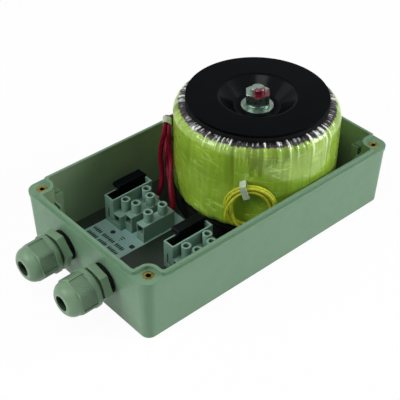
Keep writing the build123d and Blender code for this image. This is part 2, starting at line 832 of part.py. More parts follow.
red_routes = {
    "red_lead_fused": [
        (12.6, 53.0, 59.0),
        (5.4, 49.2, 66.2),
        (0.0, 45.4, 71.6),
        (-3.6, 43.0, 73.6),
        (-6.4, 41.2, 71.8),
        (-6.9, 40.7, 67.4),
        (-6.9, 40.8, 62.0),
        (-8.3, 41.9, 57.1),
        (-9.5, 43.1, 50.4),
        (-10.4, 43.3, 44.4),
        (-11.3, 42.5, 39.0),
        (-12.4, 40.5, 33.7),
        (-14.2, 37.8, 29.0),
        (-16.7, 35.3, 23.8),
        (-19.6, 34.2, 17.0),
        (-23.4, 34.1, 12.2),
        (-28.7, 34.1, 10.2),
        (-34.0, 34.1, 10.1),
    ],
    "red_lead_plain": [
        (14.4, 53.8, 49.0),
        (7.0, 50.2, 57.5),
        (2.6, 47.4, 64.4),
        (0.2, 45.2, 68.6),
        (-2.4, 43.0, 70.0),
        (-4.3, 41.4, 67.4),
        (-4.5, 41.1, 62.6),
        (-4.5, 40.8, 57.5),
        (-5.0, 39.8, 51.6),
        (-6.4, 37.6, 45.7),
        (-8.3, 34.7, 41.9),
        (-11.3, 30.7, 38.0),
        (-15.0, 26.7, 35.0),
        (-18.7, 22.5, 32.3),
        (-21.3, 18.8, 29.2),
        (-23.2, 15.8, 24.6),
        (-24.2, 13.0, 18.4),
        (-26.8, 12.0, 14.2),
        (-31.6, 11.75, 12.3),
        (-36.6, 11.75, 12.2),
    ],
    "red_lead_second": [
        (13.2, 54.1, 36.0),
        (5.6, 51.3, 43.0),
        (-0.5, 48.1, 46.6),
        (-4.8, 44.8, 46.8),
        (-7.9, 42.0, 42.4),
        (-9.6, 39.6, 36.6),
        (-11.8, 35.9, 31.8),
        (-14.5, 30.5, 28.8),
        (-17.3, 24.8, 27.0),
        (-19.5, 20.5, 24.4),
        (-21.0, 18.0, 20.4),
        (-22.6, 15.8, 16.6),
        (-26.4, 14.4, 13.4),
        (-31.4, 14.05, 12.3),
        (-36.6, 14.05, 12.2),
    ],
}
yellow_routes = {
    "yellow_start_first": [
        (14.6, -55.6, 28.0),
        (10.4, -54.4, 20.5),
        (4.2, -50.8, 15.6),
        (-0.1, -47.5, 17.8),
        (-0.8, -46.9, 23.2),
    ],
    "yellow_start_second": [
        (22.0, -57.9, 26.0),
        (16.5, -57.8, 17.0),
        (8.0, -55.6, 11.5),
        (0.0, -49.2, 11.0),
        (-2.8, -45.4, 16.5),
        (-3.0, -44.6, 22.5),
    ],
    "yellow_end_plain": [
        (-5.2, -42.3, 22.4),
        (-5.8, -42.9, 17.4),
        (-8.9, -46.2, 13.6),
        (-15.0, -49.9, 12.5),
        (-22.0, -51.6, 12.3),
        (-29.5, -51.8, 12.1),
        (-36.8, -51.8, 12.05),
    ],
    "yellow_end_fused": [
        (-7.4, -39.9, 22.9),
        (-8.1, -39.3, 17.6),
        (-11.2, -36.4, 12.8),
        (-16.6, -32.8, 10.9),
        (-22.2, -30.9, 10.4),
        (-28.0, -30.6, 10.05),
        (-33.8, -30.6, 9.95),
    ],
}


def lead(points, diameter, label):
    with BuildPart() as tube:
        with BuildLine() as path:
            FilletPolyline(*points, radius=route_radii(points))
        with BuildSketch(Plane(origin=path.line @ 0, z_dir=path.line % 0)):
            Circle(diameter / 2)
        sweep()
    length = path.wires()[0].length
    share = tube.part.volume / (length * pi * diameter**2 / 4)
    radii = ", ".join(f"{radius:.1f}" for radius in route_radii(points))
    print(f"{label}: length {length:.1f}, volume share {share:.3f}, radii {radii}")
    save(tube.part, label)


for name, points in red_routes.items():
    lead(points, red_lead_diameter, name)
for name, points in yellow_routes.items():
    lead(points, yellow_lead_diameter, name)

# Tie round two of the red leads, where they hang side by side
fused_spot = Vector(*red_routes["red_lead_fused"][6][:2], red_tie_z)
plain_spot = Vector(*red_routes["red_lead_plain"][6][:2], red_tie_z)
tie_across = fused_spot - plain_spot
tie_plane = Plane(origin=(fused_spot + plain_spot) / 2, x_dir=tie_across, z_dir=(0, 0, 1))
tie_inside = red_lead_diameter + 2 * red_tie_gap
with BuildPart() as red_lead_tie:
    with BuildSketch(tie_plane):
        SlotCenterToCenter(tie_across.length, tie_inside + 2 * red_tie_thickness)
        with Locations((0, -(tie_inside + red_tie_thickness) / 2)):
            Rectangle(red_tie_head, red_tie_head, align=(Align.CENTER, Align.MAX))
        SlotCenterToCenter(tie_across.length, tie_inside, mode=Mode.SUBTRACT)
    extrude(amount=red_tie_height / 2, both=True)
save(red_lead_tie.part, "red_lead_tie")

# Tied coil of spare yellow lead, leaning on the toroid
coil_away = Vector(cos(radians(coil_angle)), sin(radians(coil_angle)), 0)
coil_reach = toroid_diameter / 2 + 2 * rest_gap + coil_tie_thickness + coil_thickness / 2
coil_middle = Vector(toroid_x, 0, coil_height) + coil_away * coil_reach
coil_plane = Plane(origin=coil_middle, x_dir=(-coil_away.Y, coil_away.X, 0), z_dir=coil_away)
with BuildPart() as yellow_coil:
    with BuildSketch(coil_plane):
        Circle(coil_outer)
        Circle(coil_inner, mode=Mode.SUBTRACT)
    extrude(amount=coil_thickness / 2, both=True)
    fillet(yellow_coil.edges(), coil_round)
save(yellow_coil.part, "yellow_coil")

with BuildPart() as yellow_coil_tie:
    band = coil_outer - coil_inner + 2 * coil_tie_gap
    deep = coil_thickness + 2 * rest_gap
    spot = (coil_outer + coil_inner) / 2
    tie_turn = radians(90 + coil_tie_angle)
    band_x = coil_plane.x_dir * cos(tie_turn) + coil_plane.y_dir * sin(tie_turn)
    band_spot = coil_middle + band_x * spot
    along = coil_plane.z_dir.cross(band_x)
    with BuildSketch(Plane(origin=band_spot, x_dir=band_x, z_dir=along)):
        Rectangle(band + 2 * coil_tie_thickness, deep + 2 * coil_tie_thickness)
        Rectangle(band, deep, mode=Mode.SUBTRACT)
    extrude(amount=coil_tie_width / 2, both=True)
save(yellow_coil_tie.part, "yellow_coil_tie")
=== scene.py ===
from math import cos, pi, radians, sin

import bpy
import numpy as np
from mathutils import Matrix, Vector


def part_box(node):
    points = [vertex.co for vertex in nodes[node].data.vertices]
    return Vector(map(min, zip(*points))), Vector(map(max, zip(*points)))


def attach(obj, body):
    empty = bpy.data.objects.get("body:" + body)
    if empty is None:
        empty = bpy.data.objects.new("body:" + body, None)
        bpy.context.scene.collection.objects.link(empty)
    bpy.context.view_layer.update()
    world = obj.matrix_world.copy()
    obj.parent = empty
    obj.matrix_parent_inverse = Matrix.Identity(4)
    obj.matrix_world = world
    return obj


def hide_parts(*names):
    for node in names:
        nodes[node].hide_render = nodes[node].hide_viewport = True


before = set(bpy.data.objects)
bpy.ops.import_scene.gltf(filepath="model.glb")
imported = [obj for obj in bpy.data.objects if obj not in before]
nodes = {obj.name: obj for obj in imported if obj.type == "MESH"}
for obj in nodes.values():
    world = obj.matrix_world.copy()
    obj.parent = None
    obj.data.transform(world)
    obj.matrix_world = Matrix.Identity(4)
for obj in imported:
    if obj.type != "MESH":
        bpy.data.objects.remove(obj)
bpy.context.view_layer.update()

scene = bpy.context.scene
toroidX = 0.041  # the toroid, plate and bolt share this upright axis, at y = 0
print("frame loaded:", len(nodes), "nodes")


class Flow:  # a socket's value, with the maths that the looks use
    def __init__(self, web, socket):
        self.web = web
        self.socket = socket

    def math(self, operation, *values):
        return self.web.node("ShaderNodeMath", {"operation": operation}, dict(enumerate(values)))

    def __add__(self, other):
        return self.math("ADD", self, other)

    def __radd__(self, other):
        return self.math("ADD", other, self)

    def __sub__(self, other):
        return self.math("SUBTRACT", self, other)

    def __rsub__(self, other):
        return self.math("SUBTRACT", other, self)

    def __mul__(self, other):
        return self.math("MULTIPLY", self, other)

    def __rmul__(self, other):
        return self.math("MULTIPLY", other, self)

    def __abs__(self):
        return self.math("ABSOLUTE", self)

    def sine(self):
        return self.math("SINE", self)

    def root(self):
        return self.math("SQRT", self)

    def angle(self, across):  # of a point this far up and that far across
        return self.math("ARCTAN2", self, across)

    def within(self, low, high):  # 0 to 1 as the value goes from low to high
        return self.web.node(
            "ShaderNodeMapRange", {"interpolation_type": "SMOOTHSTEP"},
            {"Value": self, "From Min": low, "From Max": high},
        )


class Web:  # a node tree, in which one method makes every node
    def __init__(self, tree):
        self.tree = tree

    def node(self, kind, settings, sockets, out=0):
        made = self.tree.nodes.new(kind)
        for key, value in settings.items():
            if key == "stops":
                self.setStops(made.color_ramp, value)
            else:
                setattr(made, key, value)
        for key, value in sockets.items():
            if isinstance(value, Flow):
                self.tree.links.new(value.socket, made.inputs[key])
            else:
                made.inputs[key].default_value = value
        return Flow(self, made.outputs[out])

    def setStops(self, ramp, stops):
        while len(ramp.elements) < len(stops):
            ramp.elements.new(1.0)
        for element, (at, colour) in zip(ramp.elements, stops):
            element.position = at
            element.color = (*colour, 1.0)

    def kept(self, kind):  # a node that the tree starts with
        return next(node for node in self.tree.nodes if node.type == kind)

    def end(self, kind, flow):
        self.tree.links.new(flow.socket, self.kept(kind).inputs[0])


class Look(Web):  # one material: a Principled shader and the nodes before it
    def __init__(self, name, **constants):
        self.material = bpy.data.materials.new(name)
        self.material.use_nodes = True
        super().__init__(self.material.node_tree)
        self.shader = self.kept("BSDF_PRINCIPLED")
        for key, value in constants.items():
            self.shader.inputs[key.replace("_", " ")].default_value = value
        self.place = self.node("ShaderNodeTexCoord", {}, {}, "Object")

    def noise(self, scale, detail=3.0, rough=0.55, at=None):
        sockets = {"Vector": at or self.place, "Scale": scale, "Detail": detail, "Roughness": rough}
        return self.node("ShaderNodeTexNoise", {}, sockets)

    def mix(self, factor, first, second):
        sides = [side if isinstance(side, Flow) else (*side, 1.0) for side in (first, second)]
        sockets = {0: factor, 6: sides[0], 7: sides[1]}
        return self.node("ShaderNodeMix", {"data_type": "RGBA"}, sockets, 2)

    def vector(self, operation, first, second, out="Vector"):
        sockets = {0: first, 1: second}
        return self.node("ShaderNodeVectorMath", {"operation": operation}, sockets, out)

    def joined(self, x, y, z):
        return self.node("ShaderNodeCombineXYZ", {}, {0: x, 1: y, 2: z})

    def axes(self, at=None):
        split = self.node("ShaderNodeSeparateXYZ", {}, {0: at or self.place})
        outputs = split.socket.node.outputs
        return [Flow(self, outputs[i]) for i in range(3)]

    def stretched(self, scale):
        return self.vector("MULTIPLY", self.place, scale)

    def softEdge(self, radius):
        return self.node("ShaderNodeBevel", {"samples": 4}, {"Radius": radius})

    def bump(self, height, strength, distance, normal=None):
        sockets = {"Height": height, "Strength": strength, "Distance": distance}
        if normal:
            sockets["Normal"] = normal
        return self.node("ShaderNodeBump", {}, sockets)

    def feed(self, **flows):
        for key, flow in flows.items():
            self.tree.links.new(flow.socket, self.shader.inputs[key.replace("_", " ")])


def scaled(colour, share):
    return tuple(c * share for c in colour)


def dress(look, *names):
    for name in names:
        nodes[name].data.materials.clear()
        nodes[name].data.materials.append(look.material)


def newMesh(name, points, faces, look, smooth=False):
    mesh = bpy.data.meshes.new(name)
    mesh.from_pydata([tuple(p) for p in points], [], [tuple(f) for f in faces])
    mesh.update()
    mesh.materials.append(look.material)
    if smooth:
        mesh.shade_smooth()
    else:
        mesh.shade_flat()
    made = bpy.data.objects.new(name, mesh)
    scene.collection.objects.link(made)
    return made


def addPiece(name, points, faces, look, slot, smooth=False):
    piece = newMesh(name, points, faces, look, smooth)
    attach(piece, "base")
    return piece


# Camera, at the photograph's place
shot = {
    "azimuth": -41.984,
    "elevation": 38.689,
    "roll": 0.584,
    "offset": (0.008403, -0.014304, -0.72316),  # the part's origin in the camera's own axes
    "lens": 89.915,
    "sensor": 36,
}


def placeCamera(view):
    turn, tilt, roll = (radians(view[key]) for key in ("azimuth", "elevation", "roll"))
    right = Vector((cos(turn), sin(turn), 0))
    back = Vector((sin(turn) * cos(tilt), -cos(turn) * cos(tilt), sin(tilt)))
    up = back.cross(right)
    across = cos(roll) * right + sin(roll) * up
    above = cos(roll) * up - sin(roll) * right
    facing = Matrix((across, above, back)).transposed()
    eye = bpy.data.objects.new("shotCamera", bpy.data.cameras.new("shotCamera"))
    eye.data.lens = view["lens"]
    eye.data.sensor_width = view["sensor"]
    eye.matrix_world = Matrix.Translation(facing @ -Vector(view["offset"])) @ facing.to_4x4()
    scene.collection.objects.link(eye)
    scene.camera = eye


placeCamera(shot)
print("camera placed")

# Leads: routes in millimetres, near the solids' own and moved to follow the photograph
redLeads = {
    "diameter": 3.6, "colour": (0.185, 0.0012, 0.020), "dark": (0.115, 0.0009, 0.011),
    "slot": "red_sleeve", "lay": "loose",
    "routes": {  # a fourth value is the share of the thickness in the tie or a clamp
        "redLeadFused": {"solids": ["red_lead_fused"], "points": [
            (12.6, 53.0, 59.0), (6.8, 51.8, 60.0), (1.9, 49.4, 62.8), (-1.9, 46.8, 66.2),
            (-5.1, 43.9, 69.4, 0.85), (-7.3, 41.6, 70.1, 0.72), (-10.0, 38.9, 69.1, 0.72),
            (-12.1, 37.2, 66.3, 0.85), (-13.0, 36.6, 62.6), (-13.6, 37.4, 57.6),
            (-14.3, 38.3, 52.4), (-14.6, 38.7, 47.4), (-14.8, 38.9, 42.4), (-14.8, 38.2, 36.4),
            (-15.4, 36.8, 30.2), (-17.0, 35.2, 24.0), (-19.6, 34.2, 17.0),
            (-23.4, 34.1, 12.2, 0.62), (-28.7, 34.1, 10.2, 0.62), (-34.0, 34.1, 10.1, 0.62),
        ]},
        "redLeadPlain": {"solids": ["red_lead_plain"], "points": [
            (14.4, 53.8, 49.0), (10.8, 52.2, 51.0), (7.1, 50.1, 54.2), (3.3, 47.5, 58.8),
            (-0.1, 44.7, 63.6), (-3.3, 42.2, 67.6, 0.85), (-5.6, 40.0, 68.9, 0.72),
            (-8.1, 37.3, 67.9, 0.72), (-9.9, 35.2, 65.2, 0.85), (-10.5, 34.4, 61.4),
            (-10.3, 34.6, 57.2), (-10.2, 34.5, 52.5), (-10.2, 33.9, 48.0), (-10.6, 32.9, 43.4),
            (-12.1, 30.5, 38.6), (-15.3, 27.0, 35.0), (-19.3, 23.1, 32.0), (-22.1, 19.5, 28.7),
            (-23.9, 16.5, 24.1), (-24.6, 13.3, 18.2), (-26.8, 12.0, 14.2, 0.62),
            (-31.6, 11.75, 12.3, 0.62), (-36.6, 11.75, 12.2, 0.62),
        ]},
        "redLeadSecond": {"solids": ["red_lead_second"], "points": [
            (13.2, 54.1, 36.0), (5.6, 51.3, 43.0), (0.0, 47.8, 46.6), (-4.2, 44.4, 46.8),
            (-7.2, 41.5, 42.4), (-8.9, 39.1, 36.6), (-11.1, 35.4, 31.8), (-14.2, 30.3, 28.8),
            (-17.2, 24.8, 27.0), (-19.5, 20.5, 24.2), (-21.0, 18.0, 20.2), (-22.6, 16.2, 16.4),
            (-26.4, 14.5, 13.4, 0.62), (-31.4, 14.05, 12.3, 0.62), (-36.6, 14.05, 12.2, 0.62),
        ]},
    },
}
yellowLeads = {
    "diameter": 2.2, "colour": (0.50, 0.54, 0.035), "dark": (0.38, 0.42, 0.024),
    "specks": (0.02, 0.025, 0.01), "slot": "yellow_sleeve", "lay": "coiled",
    "coilMiddle": (-4.49, -43.01, 40.8), "coilTurn": -136.6,
    "routes": {  # to the coil, round it by angle, radius and lift off its plane, and to the block
        "yellowLeadPlain": {
            "solids": ["yellow_start_first", "yellow_coil", "yellow_end_plain"],
            "start": [
                (14.6, -55.6, 28.0), (10.4, -54.4, 20.5), (4.2, -50.8, 15.6), (-0.1, -47.5, 17.8),
                (-0.8, -46.9, 23.2),
            ],
            "turns": [
                (-50, 18.2, -1.7), (-24, 17.4, -1.5), (2, 17.2, -1.4), (28, 17.0, -1.3),
                (54, 16.8, -1.3), (80, 16.6, -1.2), (106, 16.4, -1.2), (132, 17.0, -1.3),
                (158, 17.8, -1.5), (184, 18.0, -1.6), (210, 18.0, -1.7), (236, 17.4, -1.7),
                (262, 16.6, -1.6), (288, 15.7, -1.5), (314, 14.9, -1.4), (340, 14.3, -1.3),
                (366, 14.0, -1.3), (392, 13.8, -1.2), (418, 13.7, -1.2), (444, 13.7, -1.2),
                (470, 13.7, -1.2), (496, 13.5, -1.2), (522, 13.2, -0.5), (548, 13.2, 1.2),
                (572, 13.7, 3.2), (592, 14.8, 4.2), (610, 16.6, 4.2),
            ],
            "end": [
                (-5.2, -42.3, 22.4), (-5.8, -42.9, 17.4), (-8.9, -46.2, 13.6),
                (-15.0, -49.9, 12.5), (-22.0, -51.6, 12.3), (-29.5, -51.8, 12.1),
                (-36.8, -51.8, 12.05),
            ],
        },
        "yellowLeadFused": {
            "solids": ["yellow_start_second", "yellow_end_fused"],
            "start": [
                (22.0, -57.9, 26.0), (16.5, -57.8, 17.0), (8.0, -55.6, 11.5), (0.0, -49.2, 11.0),
                (-2.8, -45.4, 16.5), (-3.0, -44.6, 22.5),
            ],
            "turns": [
                (-66, 17.2, 2.5), (-40, 17.0, 2.0), (-14, 16.9, 1.7), (12, 16.8, 1.5),
                (38, 16.7, 1.3), (64, 16.6, 1.3), (90, 16.4, 1.2), (116, 16.3, 1.2),
                (142, 16.4, 1.0), (168, 16.6, 0.9), (194, 16.7, 0.7), (220, 16.5, 0.7),
                (246, 16.0, 0.8), (272, 15.3, 1.0), (298, 14.6, 1.2), (324, 14.0, 1.3),
                (350, 13.7, 1.3), (376, 13.6, 1.3), (402, 13.6, 1.3), (428, 13.6, 1.3),
                (454, 13.7, 1.2), (478, 13.8, 1.6), (500, 14.2, 3.0), (522, 15.0, 4.5),
                (546, 16.8, 5.2), (570, 19.0, 4.9),
            ],
            "end": [
                (-7.4, -39.9, 22.9), (-8.1, -39.3, 17.6), (-11.2, -36.4, 12.8),
                (-16.6, -32.8, 10.9), (-22.2, -30.9, 10.4), (-28.0, -30.6, 10.05),
                (-33.8, -30.6, 9.95),
            ],
        },
    },
}


def sleeveLook(name, leads):
    look = Look(name, Roughness=0.48, Specular_IOR_Level=0.15)
    shade = look.mix(look.noise(320).within(0.35, 0.7), leads["dark"], leads["colour"])
    if "specks" in leads:  # broken print along the sleeve
        mark = look.noise(900, 2.0, 0.5, look.stretched((1.0, 1.0, 0.7))).within(0.66, 0.7)
        shade = look.mix(mark * 0.85, shade, leads["specks"])
    look.feed(Base_Color=shade, Normal=look.bump(look.noise(1500), strength=0.08, distance=0.0002))
    return look


def splineLength(line):
    bare = line.copy()
    bare.bevel_depth = 0
    probe = bpy.data.objects.new("probe", bare)
    track = [v.co.copy() for v in bpy.data.meshes.new_from_object(probe).vertices]
    bpy.data.objects.remove(probe)
    return sum((b - a).length for a, b in zip(track, track[1:]))


def runCord(name, route, points, leads, look):
    diameter = leads["diameter"]
    line = bpy.data.curves.new(name, "CURVE")
    line.dimensions = "3D"
    spline = line.splines.new("NURBS")
    spline.points.add(len(points) - 1)
    for spot, (x, y, z, *share) in zip(spline.points, points):
        spot.co = (x / 1000, y / 1000, z / 1000, 1.0)
        spot.radius = share[0] if share else 1.0
    spline.order_u = 3
    spline.use_endpoint_u = True
    line.resolution_u = 10
    line.bevel_depth = diameter / 2000
    line.bevel_resolution = 5
    line.use_fill_caps = True
    line.materials.append(look.material)
    cord = bpy.data.objects.new(name, line)
    scene.collection.objects.link(cord)
    length = splineLength(line)
    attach(cord, "base")
    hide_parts(*route["solids"])
    [v / 1000 for v in points[0][:3]]
    diameter / 1000
    print(name, "runs", round(length * 1000, 1), "mm")


def coilSpot(leads, angle, radius, lift):
    heading, turn = radians(leads["coilTurn"]), radians(angle)
    away = Vector((cos(heading), sin(heading), 0))
    across = Vector((-away.y, away.x, 0))
    upward = Vector((0, 0, radius * sin(turn)))
    return Vector(leads["coilMiddle"]) + across * radius * cos(turn) + upward + away * lift


redSleeve = sleeveLook("redSleeve", redLeads)
yellowSleeve = sleeveLook("yellowSleeve", yellowLeads)
for name, route in redLeads["routes"].items():
    runCord(name, route, route["points"], redLeads, redSleeve)
for name, route in yellowLeads["routes"].items():
    coil = [tuple(coilSpot(yellowLeads, *turn)) for turn in route["turns"]]
    runCord(name, route, route["start"] + coil + route["end"], yellowLeads, yellowSleeve)
print("leads laid")

# Moulded plastics
plastics = {
    "case": {
        "colour": (0.149, 0.270, 0.166), "shade": (0.141, 0.258, 0.157),
        "edge": (0.19, 0.32, 0.205), "grain": 2600, "shadeReach": 0.004, "rough": 0.40, "shine": 0.3,
    },
    "gland": {
        "colour": (0.184, 0.308, 0.187), "shade": (0.162, 0.271, 0.164),
        "edge": (0.24, 0.37, 0.25), "grain": 2200, "shadeReach": 0.006, "rough": 0.38, "shine": 0.3,
    },
    "block": {
        "colour": (0.225, 0.378, 0.304), "shade": (0.197, 0.333, 0.268),
        "edge": (0.35, 0.51, 0.425), "grain": 2000, "shadeReach": 0.008, "rough": 0.36, "shine": 0.3,
    },
    "carrier": {
        "colour": (0.003, 0.0042, 0.0052), "shade": (0.002, 0.003, 0.0038),
        "edge": (0.012, 0.016, 0.018), "grain": 2400, "shadeReach": 0.004, "rough": 0.30, "shine": 0.05,
    },
}
# painted shade for the floor inside, and painted light for the inside walls
caseInside = {
    "floor": (0.012, 0.018, 0.013), "floorShadeShare": 0.95, "floorTop": (0.004, 0.006),
    "walls": (0.24, 0.31, 0.18), "wallLightShare": 0.6, "endShare": 0.55,
}
glandNuts = {  # metres, and degrees for the tilt
    "x": -0.11166, "y": {"far": 0.0212, "near": -0.0212}, "z": 0.0266, "tilt": 2.2,
    "ribStart": 0.0152, "ribEnd": 0.0258, "ribFade": 0.0004,  # along the nut
    "ribPitch": 0.00105, "ribRadius": 0.0125,
    # the round opening's inside is painted nearly black, as painted shade
    "openingStart": 0.0052, "openingEnd": 0.0056, "openingShade": (0.004, 0.006, 0.004),
}


def plasticLook(name, tone, inside=None, nutY=None):
    look = Look(name, Roughness=tone["rough"], Specular_IOR_Level=tone["shine"])
    soft = look.softEdge(0.0006)
    facing = look.node("ShaderNodeNewGeometry", {}, {}, "Normal")
    worn = (1 - look.vector("DOT_PRODUCT", soft, facing, "Value")).within(0.02, 0.25) * 0.7
    blotch = look.noise(45, 4.0).within(0.3, 0.7)
    shade = look.mix(worn, look.mix(blotch, tone["shade"], tone["colour"]), tone["edge"])
    # painted shade: spots hemmed in by nearby surfaces, as in corners and recesses, are darkened
    shadeReach = {"Distance": tone["shadeReach"]}
    openness = look.node("ShaderNodeAmbientOcclusion", {"samples": 6}, shadeReach, "AO")
    shade = look.mix((1 - openness).within(0.42, 0.98) * 0.8, shade, scaled(tone["shade"], 0.12))
    if inside:  # painted shade on the floor inside, and painted light, lighter and browner, on the inside walls
        faceX, faceY, faceZ = look.axes(facing)
        x, y, z = look.axes()
        floor = faceZ.within(0.8, 0.95) * (1 - z.within(*inside["floorTop"]))
        shade = look.mix(floor * inside["floorShadeShare"], shade, inside["floor"])
        towards = 0 - faceX * x * inside["endShare"] - faceY * y  # a wall that looks at the middle
        # painted light: inside walls that face the middle are made lighter and browner
        shade = look.mix(towards.within(0.03, 0.05) * inside["wallLightShare"], shade, inside["walls"])
    height = look.noise(tone["grain"], 2.0) * 0.25
    if nutY is not None:
        ribs, opening = nutRibs(look, glandNuts, nutY)
        height = height + ribs * 2.2
        # painted shade in the grooves between the ribs
        shade = look.mix((0 - ribs).within(-0.2, 0.8) * 0.75, shade, scaled(tone["shade"], 0.4))
        # painted shade: the inside of the round opening is painted nearly black
        shade = look.mix(opening * 0.96, shade, glandNuts["openingShade"])
    gloss = tone["rough"] - 0.08 + look.noise(160).within(0.25, 0.75) * 0.14
    look.feed(Base_Color=shade, Roughness=gloss, Normal=look.bump(height, 0.35, 0.0003, soft))
    return look


def nutRibs(look, nut, y):  # fine ribs round a gland nut, and its round opening
    tilt = radians(nut["tilt"])
    out, beside = (-cos(tilt), 0.0, -sin(tilt)), (sin(tilt), 0.0, -cos(tilt))
    place = look.vector("SUBTRACT", look.place, (nut["x"], y, nut["z"]))
    along = look.vector("DOT_PRODUCT", place, out, "Value")
    flat = look.vector("DOT_PRODUCT", place, beside, "Value")
    side = look.axes(place)[1]
    wave = (flat.angle(side) * nut["ribRadius"] * (2 * pi / nut["ribPitch"])).sine()
    begun = along.within(nut["ribStart"], nut["ribStart"] + nut["ribFade"])
    ended = along.within(nut["ribEnd"] - nut["ribFade"], nut["ribEnd"])
    reach = (flat * flat + side * side).root()
    return wave * (begun * (1 - ended)), 1 - reach.within(nut["openingStart"], nut["openingEnd"])


dress(plasticLook("casePlastic", plastics["case"], caseInside), "case")
glandPlastic = plasticLook("glandPlastic", plastics["gland"])
blockPlastic = plasticLook("blockPlastic", plastics["block"])
carrierPlastic = plasticLook("carrierPlastic", plastics["carrier"])
for gland, y in glandNuts["y"].items():
    dress(plasticLook(gland + "NutPlastic", plastics["gland"], nutY=y), gland + "_gland_dome_nut")
    dress(glandPlastic, gland + "_gland_body", gland + "_gland_locknut")
for block in ("mains", "output"):
    dress(blockPlastic, block + "_block")
    dress(carrierPlastic, block + "_fuse_carrier")
print("plastics done")

# Rubber, paint, metals and glass
rubbers = {
    "windingTape": {
        "colour": (0.42, 0.40, 0.22), "rough": 0.4, "on": ["winding_insulation", "core_insulation"],
    },
    "blackRubber": {
        "colour": (0.006, 0.006, 0.0065), "rough": 0.7,
        "on": [
            "lower_pad", "upper_pad", "far_gland_gasket", "near_gland_gasket",
            "far_gland_seal", "near_gland_seal",
        ],
    },
    "paleTie": {"colour": (0.42, 0.50, 0.36), "rough": 0.38, "on": ["yellow_coil_tie"]},
}
platePaint = {
    "deep": (0.0006, 0.0013, 0.002), "pale": (0.0012, 0.0022, 0.003), "dust": (0.012, 0.015, 0.016),
    "dishStart": (0.012, 0.018), "dishEnd": (0.0265, 0.0285),  # radii where gloss comes and goes
    "dishCoat": 0.13,
}
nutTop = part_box("hex_nut")[1].z
zinc = {"colour": (0.29, 0.38, 0.325), "dark": (0.16, 0.21, 0.175)}
lockPaint = (0.115, 0.001, 0.012)
metals = {  # "dab" is where locking paint starts, the way it spreads, and the height it stays above
    "zincSteel": {
        **zinc, "rough": 0.28, "scratch": (1.0, 1.0, 0.1),
        "on": ["flat_washer", "spring_washer", "block_fixing_screws"],
    },
    # painted shade: the clamp screws deep in their bores are painted nearly black
    "shadedScrewSteel": {
        "colour": (0.05, 0.056, 0.053), "dark": (0.02, 0.022, 0.021), "rough": 0.4,
        "on": ["mains_clamp_screws", "output_clamp_screws"],
    },
    "boltSteel": {
        **zinc, "rough": 0.30, "scratch": (0.1, 0.1, 1.0), "on": ["centre_bolt"],
        "dab": {"from": 0.0010, "towards": (-0.37, -0.93), "low": nutTop},
    },
    "nutSteel": {
        **zinc, "rough": 0.26, "scratch": (1.0, 1.0, 0.2), "on": ["hex_nut"],
        "dab": {"from": 0.0022, "towards": (-0.09, -1.0), "low": nutTop - 0.0006},
    },
    "brass": {
        "colour": (0.30, 0.26, 0.07), "dark": (0.10, 0.085, 0.022), "rough": 0.26,
        "on": ["corner_inserts", "mains_fuse_contacts", "output_fuse_contacts"],
    },
    # painted shade: the clamps seen through the entries are painted nearly black
    "shadedClampBrass": {
        "colour": (0.03, 0.026, 0.014), "dark": (0.012, 0.01, 0.006), "rough": 0.5,
        "on": ["mains_clamps", "output_clamps"],
    },
    "nickelCap": {
        "colour": (0.62, 0.62, 0.60), "dark": (0.42, 0.42, 0.40), "rough": 0.2,
        "on": ["mains_fuse_caps", "output_fuse_caps"],
    },
    "coreStrip": {
        "colour": (0.20, 0.21, 0.22), "dark": (0.10, 0.105, 0.11), "rough": 0.4,
        "scratch": (0.05, 0.05, 1.0), "on": ["toroid_core"],
    },
    "copperWire": {
        "colour": (0.50, 0.20, 0.09), "dark": (0.28, 0.09, 0.035), "rough": 0.35,
        "scratch": (1.0, 1.0, 0.05), "on": ["primary_winding", "secondary_winding"],
    },
}
fuseGlass = {"deep": (0.86, 0.92, 0.90), "pale": (0.95, 0.98, 0.97)}


def rubberLook(name, rubber):
    look = Look(name, Roughness=rubber["rough"], Specular_IOR_Level=0.06)
    brighter = tuple(c * 1.3 + 0.002 for c in rubber["colour"])
    shade = look.mix(look.noise(260, 4.0).within(0.3, 0.75), rubber["colour"], brighter)
    uneven = look.bump(look.noise(1800), 0.2, 0.0003, look.softEdge(0.0005))
    look.feed(Base_Color=shade, Normal=uneven)
    return look


def paintLook(name, paint):  # black on the dished plate, glossier in the dish and over its rim
    look = Look(name, Specular_IOR_Level=0.018, Coat_Roughness=0.17)
    x, y = look.axes()[:2]
    reach = ((x - toroidX) * (x - toroidX) + y * y).root()
    polished = reach.within(*paint["dishStart"]) * (1 - reach.within(*paint["dishEnd"]))
    cloud = look.noise(30, 3.0).within(0.3, 0.7)
    dust = look.noise(900, 5.0, 0.7).within(0.62, 0.8) * 0.25
    shade = look.mix(dust, look.mix(cloud, paint["deep"], paint["pale"]), paint["dust"])
    uneven = look.bump(look.noise(700), 0.06, 0.0003, look.softEdge(0.0005))
    look.feed(
        Base_Color=shade, Roughness=0.26 + cloud * 0.08,
        Coat_Weight=polished * paint["dishCoat"], Normal=uneven,
    )
    return look


